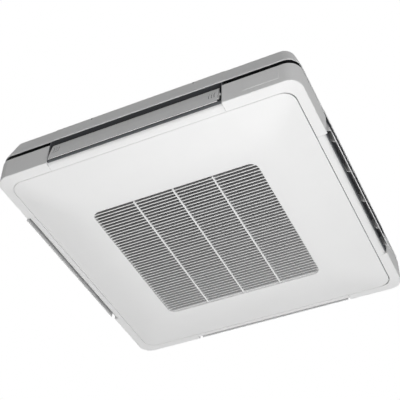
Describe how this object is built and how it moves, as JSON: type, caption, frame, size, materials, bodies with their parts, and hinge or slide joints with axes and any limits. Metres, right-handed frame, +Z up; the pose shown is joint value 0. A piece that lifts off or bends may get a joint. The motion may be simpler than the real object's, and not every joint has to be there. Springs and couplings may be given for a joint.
{
  "type": "ceiling-suspended air conditioner, four-way outlet",
  "caption": "Square white air conditioner that hangs below a ceiling, with a bulged hinged intake panel, a slatted grille and swinging flaps in its side outlets.",
  "frame": {"origin": "centre of the top face, against the ceiling", "axes": "+Z up to the ceiling, -Y the front, +X the right side"},
  "size_m": [0.9711, 0.9602, 0.198],
  "materials": {
    "cover_white": "moulded ABS, fine satin",
    "grille_white": "moulded ABS, satin",
    "duct_grey": "dark grey moulded plastic, matt",
    "post_steel": "dark painted steel",
    "sheet_steel": "galvanised sheet",
    "foam_white": "expanded polystyrene",
    "foam_dark": "foam and rubber, matt",
    "fin_aluminium": "thin aluminium fins",
    "copper": "copper tube",
    "nut_brass": "machined brass",
    "fan_grey": "grey moulded plastic",
    "motor_black": "black paint",
    "shaft_steel": "turned steel",
    "filter_frame": "grey moulded plastic",
    "filter_net": "woven plastic net",
    "part_black": "black moulded plastic"
  },
  "bodies": {
    "chassis": {"bell_mouth": "fan_grey", "cable_grommet": "foam_dark", "casing_corner_front_left": "cover_white", "casing_corner_front_right": "cover_white", "casing_corner_rear_left": "cover_white", "casing_corner_rear_right": "cover_white", "casing_screws": "shaft_steel", "casing_side_front": "cover_white", "casing_side_left": "cover_white", "casing_side_rear": "cover_white", "casing_side_right": "cover_white", "coil_bends": "copper", "coil_end_plates": "sheet_steel", "coil_fins": "fin_aluminium", "control_box": "sheet_steel", "control_box_lid": "sheet_steel", "corner_cover_front_left": "cover_white", "corner_cover_front_right": "cover_white", "corner_cover_rear_left": "cover_white", "corner_cover_rear_right": "cover_white", "corner_post_front_left": "post_steel", "corner_post_front_right": "post_steel", "corner_post_rear_left": "post_steel", "corner_post_rear_right": "post_steel", "drain_hose": "part_black", "drain_pan": "foam_white", "drain_pump": "part_black", "fan_motor": "motor_black", "flare_nuts": "nut_brass", "gas_pipe": "copper", "hanger_bracket_front_left": "sheet_steel", "hanger_bracket_front_right": "sheet_steel", "hanger_bracket_rear_left": "sheet_steel", "hanger_bracket_rear_right": "sheet_steel", "liquid_pipe": "copper", "motor_mounts": "foam_dark", "outlet_frame_front": "duct_grey", "outlet_frame_left": "duct_grey", "outlet_frame_rear": "duct_grey", "outlet_frame_right": "duct_grey", "panel_catches": "shaft_steel", "panel_frame": "cover_white", "swing_motor_front": "part_black", "swing_motor_left": "part_black", "swing_motor_rear": "part_black", "swing_motor_right": "part_black", "top_insulation": "foam_dark", "top_plate": "sheet_steel"},
    "fan": {"motor_shaft": "shaft_steel", "fan_rotor": "fan_grey", "fan_nut": "shaft_steel"},
    "intake": {"intake_panel": "cover_white", "intake_grille": "grille_white", "air_filter": "filter_frame", "filter_net": "filter_net"},
    "float": {"switch_float": "foam_white"},
    "front_flap": {"flap_front": "cover_white"},
    "right_flap": {"flap_right": "cover_white"},
    "rear_flap": {"flap_rear": "cover_white"},
    "left_flap": {"flap_left": "cover_white"}
  },
  "joints": [
    {"name": "fan_spin", "type": "hinge", "parent": "chassis", "child": "fan", "pos_m": [0, 0, -0.06], "axis": [0, 0, 1], "continuous": true},
    {"name": "front_flap_swing", "type": "hinge", "parent": "chassis", "child": "front_flap", "pos_m": [0, -0.468, -0.1195], "axis": [-1, 0, 0], "range_deg": [-12, 48]},
    {"name": "right_flap_swing", "type": "hinge", "parent": "chassis", "child": "right_flap", "pos_m": [0.468, 0, -0.1195], "axis": [0, -1, 0], "range_deg": [-18, 42]},
    {"name": "rear_flap_swing", "type": "hinge", "parent": "chassis", "child": "rear_flap", "pos_m": [0, 0.468, -0.1195], "axis": [1, 0, 0], "range_deg": [-2, 58]},
    {"name": "left_flap_swing", "type": "hinge", "parent": "chassis", "child": "left_flap", "pos_m": [-0.468, 0, -0.1195], "axis": [0, 1, 0], "range_deg": [-12, 48]},
    {"name": "intake_hinge", "type": "hinge", "parent": "chassis", "child": "intake", "pos_m": [0.4404, 0, -0.1668], "axis": [0, -1, 0], "range_deg": [0, 70]},
    {"name": "float_slide", "type": "slide", "parent": "chassis", "child": "float", "axis": [0, 0, 1], "range_m": [0, 0.006]}
  ]
}
